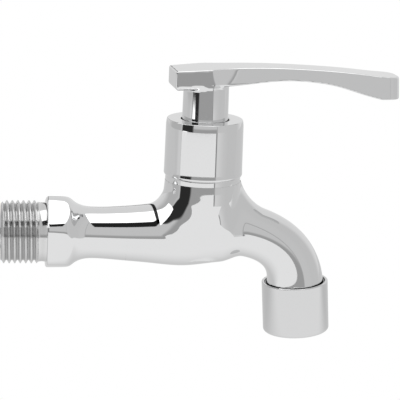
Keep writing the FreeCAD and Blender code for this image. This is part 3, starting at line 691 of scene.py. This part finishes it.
def down_spout(r, turns, s):
    """Grid points round the spout's axis, s below its mouth."""
    r, turns, s = np.broadcast_arrays(r, turns, s)
    across = r * np.cos(turns)
    x = SPOUT_END[0] + across * math.cos(SPOUT_TILT) + s * math.sin(SPOUT_TILT)
    z = SPOUT_END[1] + across * math.sin(SPOUT_TILT) - s * math.cos(SPOUT_TILT)
    return np.stack([x, r * np.sin(turns), z], axis=-1)


def make_ring():
    corners = [
        (RING_BORE - FLOOR_LAP, RIM_DEPTH), (RIM_R, RIM_DEPTH), (RIM_R, 0), (RING_R, 0),
        (RING_R, RING_LENGTH), (LIP_R, RING_LENGTH), (LIP_R, LIP_TOP), (RING_BORE, LIP_TOP),
        (RING_BORE, RIM_DEPTH + WALL_GAP),
    ]
    path = rounded_path(corners, RING_EDGES)
    ring = Shape()
    ring.grid(down_spout(path[:, :1], full_turn(192), path[:, 1:]))
    ring.make("outlet_sleeve", ring_chrome, "tap", ["outlet_ring"])


make_ring()


# Bonnet nut: tapers upwards, flares at its foot and draws in under its top

NUT_FOOT = 19.95
NUT_TOP = 38.9
NUT_R = 12.985
NUT_R_HEIGHT = 20
NUT_TAPER = 0.011
NUT_FOOT_R = 13.02
NUT_FOOT_INNER_R = 12.0
NUT_FOOT_EDGE = 0.88
NUT_TOP_EDGE = 0.3
NUT_TOP_INSET = 0.1
NUT_BORE = 10.85
NUT_BORE_TOP = 28
STEM_HOLE = 8.0
STEM_HOLE_FOOT = 29
# The outline leaves its cone by this much one step past the height, and by the square of the steps
FLARE = 0.045
FLARE_HEIGHT = 22.8
FLARE_STEP = 1.9
DRAW_IN = 0.28
DRAW_IN_HEIGHT = 36.6
DRAW_IN_STEP = 2.3


def nut_radius(z):
    flare = FLARE * max((FLARE_HEIGHT - z) / FLARE_STEP, 0) ** 2
    draw_in = DRAW_IN * max((z - DRAW_IN_HEIGHT) / DRAW_IN_STEP, 0) ** 2
    return NUT_R - NUT_TAPER * (z - NUT_R_HEIGHT) + flare - draw_in


def make_nut():
    heights = np.concatenate([
        [20.85, 21.0], np.linspace(21.2, 22.8, 9), np.linspace(23.2, 36.4, 12), np.linspace(36.6, 38.7, 12),
    ])
    flank = [(nut_radius(z), z) for z in heights]
    corners = [
        (STEM_HOLE, STEM_HOLE_FOOT), (STEM_HOLE, NUT_TOP), (flank[-1][0] - NUT_TOP_INSET, NUT_TOP),
        *flank[::-1],
        (NUT_FOOT_R, NUT_FOOT), (NUT_FOOT_INNER_R, NUT_FOOT), (NUT_BORE, NUT_FOOT), (NUT_BORE, NUT_BORE_TOP),
    ]
    edges = [0, NUT_TOP_EDGE, NUT_TOP_EDGE] + [0] * len(flank) + [NUT_FOOT_EDGE, 0, 0, 0]
    path = rounded_path(corners, edges)
    nut = Shape()
    nut.grid(along_z(path[:, :1], full_turn(240), path[:, 1:]), flip=True)
    nut.make("bonnet_nut", chrome, "tap", ["bonnet"])


make_nut()


# Lever handle: tail, hub and a waisted arm with leaning sides; x runs along it from the valve's axis

LEVER_TURN = math.radians(4.5)
LEVER_DRAFT = math.tan(math.radians(11))
TAIL_LENGTH = 11.5
TAIL_HALF = 6.5
HUB_HALF = 7.65
ARM_LENGTH = 65.2
PADDLE_START = 58
PADDLE_FOOT = 46.5
TIP_ROUNDING = 4.5
HUB_R = 7.65
HUB_R_HEIGHT = 34
HUB_DRAFT = 0.0115
HUB_FOOT = 34.2
HUB_TOP = 50.5
HUB_TOP_EDGE = 0.4
HUB_FOOT_EDGE = 0.5
HUB_FILLET = 0.9
SCREW_HOLE_Z = 43.6
SCREW_HOLE_R = 2.1
SCREW_HOLE_EDGE = 0.3
# Stands in for the hole's distance on the side that has no hole
FAR_FROM_HOLE = 5.0
TAIL_END_EDGE = 0.7
TOP_EDGE = 0.55
# The lower edge is soft on the tail and sharpens along the first part of the arm
LOWER_EDGE = 0.35
LOWER_EDGE_GAIN = 0.95
LOWER_EDGE_RUN = 15
# The crease between tail and arm, with its edge radius, lies between these places
CREASE = (-1, 4)
CREASE_EDGE = 0.5
TAIL_STEEPNESS = math.sqrt(1.01)
# Half the width, the share of the sides' lean, and the heights of top and underside, by place along the arm
half_width = spline([
    (0, HUB_HALF), (12.4, 7.27), (27.4, 7.0), (40.4, 7.03), (50.5, 7.44), (PADDLE_START, 7.8),
])
draft_share = spline([(0, 0), (5, 0.62), (12.4, 0.95), (27.4, 1), (40.4, 0.98), (50.5, 1), (PADDLE_START, 1)])
lever_top = spline([
    (-TAIL_LENGTH, 55.6), (0, 56.3), (13.04, 56.75), (34.6, 56.15), (50.9, 54.85), (60.6, 53.85),
    (ARM_LENGTH, 53.65),
])
lever_under = spline([
    (-TAIL_LENGTH, 49.1), (13.04, 51.35), (24.1, 52.35), (34.6, 51.95), (45.0, 50.1), (50.5, 48.45),
    (PADDLE_START, PADDLE_FOOT),
])


def lever_sides(x, y, z):
    """The tail's upright sides, creased into the arm's leaning ones at the hub."""
    tail_half = TAIL_HALF + (x + TAIL_LENGTH) * (HUB_HALF - TAIL_HALF) / TAIL_LENGTH
    along = np.clip(x, 0, PADDLE_START)
    lean = LEVER_DRAFT * draft_share(along)
    rise = z - PADDLE_FOOT
    arm_half = half_width(along) - rise * lean
    grade = slope(half_width, along) - rise * LEVER_DRAFT * slope(draft_share, along)
    tail_side = (np.abs(y) - tail_half) / TAIL_STEEPNESS
    arm_side = (np.abs(y) - arm_half) / np.sqrt(1 + grade ** 2 + lean ** 2)
    side = np.where(x < CREASE[0], tail_side, round_cut(tail_side, arm_side, CREASE_EDGE))
    return np.where(x > CREASE[1], arm_side, side)


def lever_distance(p):
    x = p[:, 0] - VALVE_X
    c, s = math.cos(LEVER_TURN), math.sin(LEVER_TURN)
    x, y = x * c + p[:, 1] * s, p[:, 1] * c - x * s
    z = p[:, 2]
    plan = round_cut(lever_sides(x, y, z), x - ARM_LENGTH, TIP_ROUNDING)
    plan = round_cut(plan, -TAIL_LENGTH - x, TAIL_END_EDGE)
    top = (z - lever_top(x)) / np.sqrt(1 + slope(lever_top, x) ** 2)
    before = np.minimum(x, PADDLE_START)
    in_paddle = x > PADDLE_START
    under_z = np.where(in_paddle, PADDLE_FOOT, lever_under(before))
    under_slope = np.where(in_paddle, 0, slope(lever_under, before))
    under = (under_z - z) / np.sqrt(1 + under_slope ** 2)
    bar = round_cut(plan, top, TOP_EDGE)
    bar = round_cut(bar, under, LOWER_EDGE + LOWER_EDGE_GAIN * (1 - ease(0, LOWER_EDGE_RUN, x)))
    hub_side = np.hypot(x, y) - HUB_R + HUB_DRAFT * (z - HUB_R_HEIGHT)
    hub = round_cut(hub_side, z - HUB_TOP, HUB_TOP_EDGE)
    hub = round_cut(hub, HUB_FOOT - z, HUB_FOOT_EDGE)
    whole = round_join(bar, hub, HUB_FILLET)
    hole = np.where(y > 0, np.hypot(x, z - SCREW_HOLE_Z) - SCREW_HOLE_R, FAR_FROM_HOLE)
    return round_cut(whole, -hole, SCREW_HOLE_EDGE)


LEVER_NET_LOW = (38, -10.2, 33)
LEVER_NET_HIGH = (118, 14, 58)
LEVER_NET_STEP = 0.36


def keep_all(p):
    return np.ones(len(p), bool)


lever = Shape()
lever.add(*surface_net(lever_distance, LEVER_NET_LOW, LEVER_NET_HIGH, LEVER_NET_STEP, keep_all))
lever.make("lever", chrome, "lever", ["handle"])


# Camera

VIEW_TURN = math.radians(8)
VIEW_RISE = math.radians(13.7)
VIEW_ROLL = math.radians(2.3)
VIEW_DISTANCE = 0.6
VIEW_CENTRE = Vector((0.0511, 0, 0.0112))
TO_RIGHT = (math.cos(VIEW_TURN), -math.sin(VIEW_TURN))
TO_VIEWER = (-math.sin(VIEW_TURN), -math.cos(VIEW_TURN))

scene = bpy.context.scene
right = Vector((*TO_RIGHT, 0))
back = Vector((TO_VIEWER[0] * math.cos(VIEW_RISE), TO_VIEWER[1] * math.cos(VIEW_RISE), math.sin(VIEW_RISE)))
turned = Matrix((right, back.cross(right), back)).transposed() @ Matrix.Rotation(VIEW_ROLL, 3, "Z")
camera = bpy.data.objects.new("camera", bpy.data.cameras.new("camera"))
camera.data.lens = 162
camera.data.sensor_width = 36
camera.matrix_world = Matrix.Translation(VIEW_CENTRE + back * VIEW_DISTANCE) @ turned.to_4x4()
scene.collection.objects.link(camera)
scene.camera = camera
scene.view_settings.view_transform = "Standard"


# Studio light: panels all round, given as (azimuth in degrees from the viewer, brightness)

LOW_PANELS = [
    (-180, 0.85), (-120, 0.85), (-100, 0.68), (-86, 0.68), (-80, 0.78), (-71, 0.78), (-70, 0.22),
    (-67.5, 0.22), (-66.5, 1.9), (-54, 1.9), (-51, 0.03), (-36, 0.03), (-31, 0.42), (35.5, 0.42),
    (36.3, 0.27), (38.3, 0.27), (39.5, 0.80), (43, 0.82), (60, 0.72), (75, 0.68), (110, 0.68), (130, 0.85),
    (180, 0.85),
]
HIGH_PANELS = [
    (-180, 0.85), (-135, 0.80), (-112, 0.56), (-76, 0.56), (-71, 0.66), (-69.5, 0.66), (-68.5, 0.03),
    (-36, 0.03), (-31, 0.42), (35.5, 0.42), (36.3, 0.46), (38.3, 0.46), (39.5, 0.70), (60, 0.70), (75, 0.68),
    (110, 0.68), (130, 0.85), (180, 0.85),
]
# Heights of a direction, as the sine of its rise, where the low panels give way to the high ones
PANEL_CHANGE = (-0.172, -0.16)
# The panels in front, between these azimuths, grow lighter upwards from just below level
FRONT_LEFT = -33.0
FRONT_RIGHT = 37.0
FRONT_RISE = (-0.03, 0.12)
FRONT_GAIN = 0.27
# Overhead: a softbox and a dark gap, by how far towards the viewer a ray meets a plane one unit up
OVERHEAD = [
    (-2, 0.85), (-0.33, 0.85), (-0.30, 1.9), (0.59, 1.9), (0.62, 0.02), (1.22, 0.02), (1.26, 0.69), (3, 0.69),
]
OVERHEAD_FRONT = 1.24
OVERHEAD_RIGHT = 0.38
LEAST_HEIGHT = 0.001
# On that plane a dark gap runs towards the viewer, and a second softbox lies on its wall side
GAP_RIGHT = -0.42
GAP_LEFT = -0.78
GAP_DIMMING = 0.97
SECOND_LEFT = -3.0
SECOND_BACK = -0.32
SECOND_FRONT = 1.7
SOFTBOX = 1.9


def studio(tree):
    """Brightness of the studio by direction."""
    place = tree.nodes.new("ShaderNodeTexCoord")
    split = tree.nodes.new("ShaderNodeSeparateXYZ")
    tree.links.new(place.outputs["Generated"], split.inputs[0])
    x, y, z = split.outputs

    def towards(way):
        along = math_node(tree, "MULTIPLY", x, way[0])
        beside = math_node(tree, "MULTIPLY", y, way[1])
        return math_node(tree, "ADD", along, beside)

    front = towards(TO_VIEWER)
    side = towards(TO_RIGHT)
    azimuth = math_node(tree, "DEGREES", math_node(tree, "ARCTAN2", side, front))
    low = ramp(tree, azimuth, LOW_PANELS)
    high = ramp(tree, azimuth, HIGH_PANELS)
    step = math_node(tree, "SUBTRACT", high, low)
    step = math_node(tree, "MULTIPLY", step, soft_step(tree, z, *PANEL_CHANGE))
    panels = math_node(tree, "ADD", low, step)
    past_left = (azimuth, "GREATER_THAN", FRONT_LEFT)
    before_right = (azimuth, "LESS_THAN", FRONT_RIGHT)
    in_front = all_of(tree, past_left, before_right)
    gain = math_node(tree, "MULTIPLY", in_front, soft_step(tree, z, *FRONT_RISE, 0.0, FRONT_GAIN))
    panels = math_node(tree, "ADD", panels, gain)

    height = math_node(tree, "MAXIMUM", z, LEAST_HEIGHT)
    ahead = math_node(tree, "DIVIDE", front, height)
    across = math_node(tree, "DIVIDE", side, height)
    is_up = (z, "GREATER_THAN", 0.0)
    in_overhead = all_of(
        tree, is_up, (ahead, "LESS_THAN", OVERHEAD_FRONT), (across, "LESS_THAN", OVERHEAD_RIGHT),
        (across, "GREATER_THAN", GAP_LEFT))
    in_gap = math_node(tree, "LESS_THAN", across, GAP_RIGHT)
    dimming = math_node(tree, "SUBTRACT", 1.0, math_node(tree, "MULTIPLY", in_gap, GAP_DIMMING))
    overhead = math_node(tree, "MULTIPLY", ramp(tree, ahead, OVERHEAD), dimming)
    in_second = all_of(
        tree, is_up, (across, "LESS_THAN", GAP_LEFT), (across, "GREATER_THAN", SECOND_LEFT),
        (ahead, "GREATER_THAN", SECOND_BACK), (ahead, "LESS_THAN", SECOND_FRONT))

    in_panels = math_node(tree, "SUBTRACT", 1.0, math_node(tree, "ADD", in_overhead, in_second))
    total = math_node(tree, "MULTIPLY", panels, in_panels)
    total = math_node(tree, "ADD", total, math_node(tree, "MULTIPLY", overhead, in_overhead))
    return math_node(tree, "ADD", total, math_node(tree, "MULTIPLY", in_second, SOFTBOX))


def make_world():
    """The studio for every ray except the camera's own, which see white."""
    world = bpy.data.worlds.new("studio")
    scene.world = world
    world.use_nodes = True
    tree = world.node_tree
    sky = tree.nodes["Background"]
    sky.inputs["Color"].default_value = (1, 1, 1, 1)
    tree.links.new(studio(tree), sky.inputs["Strength"])
    white = tree.nodes.new("ShaderNodeBackground")
    white.inputs["Color"].default_value = (1, 1, 1, 1)
    ray = tree.nodes.new("ShaderNodeLightPath")
    mix = tree.nodes.new("ShaderNodeMixShader")
    tree.links.new(ray.outputs["Is Camera Ray"], mix.inputs[0])
    tree.links.new(sky.outputs[0], mix.inputs[1])
    tree.links.new(white.outputs[0], mix.inputs[2])
    tree.links.new(mix.outputs[0], tree.nodes["World Output"].inputs["Surface"])


make_world()


# Light table under the tap, hidden from the camera. Its points are (right, towards the viewer) from the
# valve's axis, in millimetres. In front it slopes down from a near arc to a far one, each (radius, height).

TABLE_Z = -46
TABLE_BACK = [(120, 160), (420, -200), (800, -1000), (-800, -1000), (-500, -100), (-235, 86)]
TABLE_NEAR = (200, TABLE_Z)
TABLE_FAR = (930, -129)
# The arcs' places, as angles to the right of the way to the viewer
TABLE_TURNS = [math.radians(a) for a in range(-70, 38, 3)]
# Its light fades away from the viewer, between these places along Y in metres
TABLE_FADE = (-0.03, 0.035)
TABLE_DIMMEST = 0.70


def table_mesh():
    near, far = [[(reach * math.sin(a), reach * math.cos(a), z) for a in TABLE_TURNS]
                 for reach, z in (TABLE_NEAR, TABLE_FAR)]
    points = [(s, f, TABLE_Z) for s, f in TABLE_BACK] + near + far
    faces = [list(range(len(TABLE_BACK) + len(near)))]
    for k in range(len(near) - 1):
        first = len(TABLE_BACK) + k
        faces.append([first, first + 1, first + 1 + len(near), first + len(near)])
    places = [(VALVE_X + s * TO_RIGHT[0] + f * TO_VIEWER[0], s * TO_RIGHT[1] + f * TO_VIEWER[1], z)
              for s, f, z in points]
    mesh = bpy.data.meshes.new("light_table")
    mesh.from_pydata([(x * MM, y * MM, z * MM) for x, y, z in places], [], faces)
    return mesh


def table_glow():
    glow = bpy.data.materials.new("light_table")
    glow.use_nodes = True
    tree = glow.node_tree
    tree.nodes.clear()
    lamp = tree.nodes.new("ShaderNodeEmission")
    where = tree.nodes.new("ShaderNodeNewGeometry")
    split = tree.nodes.new("ShaderNodeSeparateXYZ")
    tree.links.new(where.outputs["Position"], split.inputs[0])
    strength = soft_step(tree, split.outputs["Y"], *TABLE_FADE, 1.0, TABLE_DIMMEST)
    tree.links.new(strength, lamp.inputs["Strength"])
    out = tree.nodes.new("ShaderNodeOutputMaterial")
    tree.links.new(lamp.outputs[0], out.inputs["Surface"])
    return glow


table = bpy.data.objects.new("light_table", table_mesh())
table.data.materials.append(table_glow())
table.visible_camera = False
scene.collection.objects.link(table)
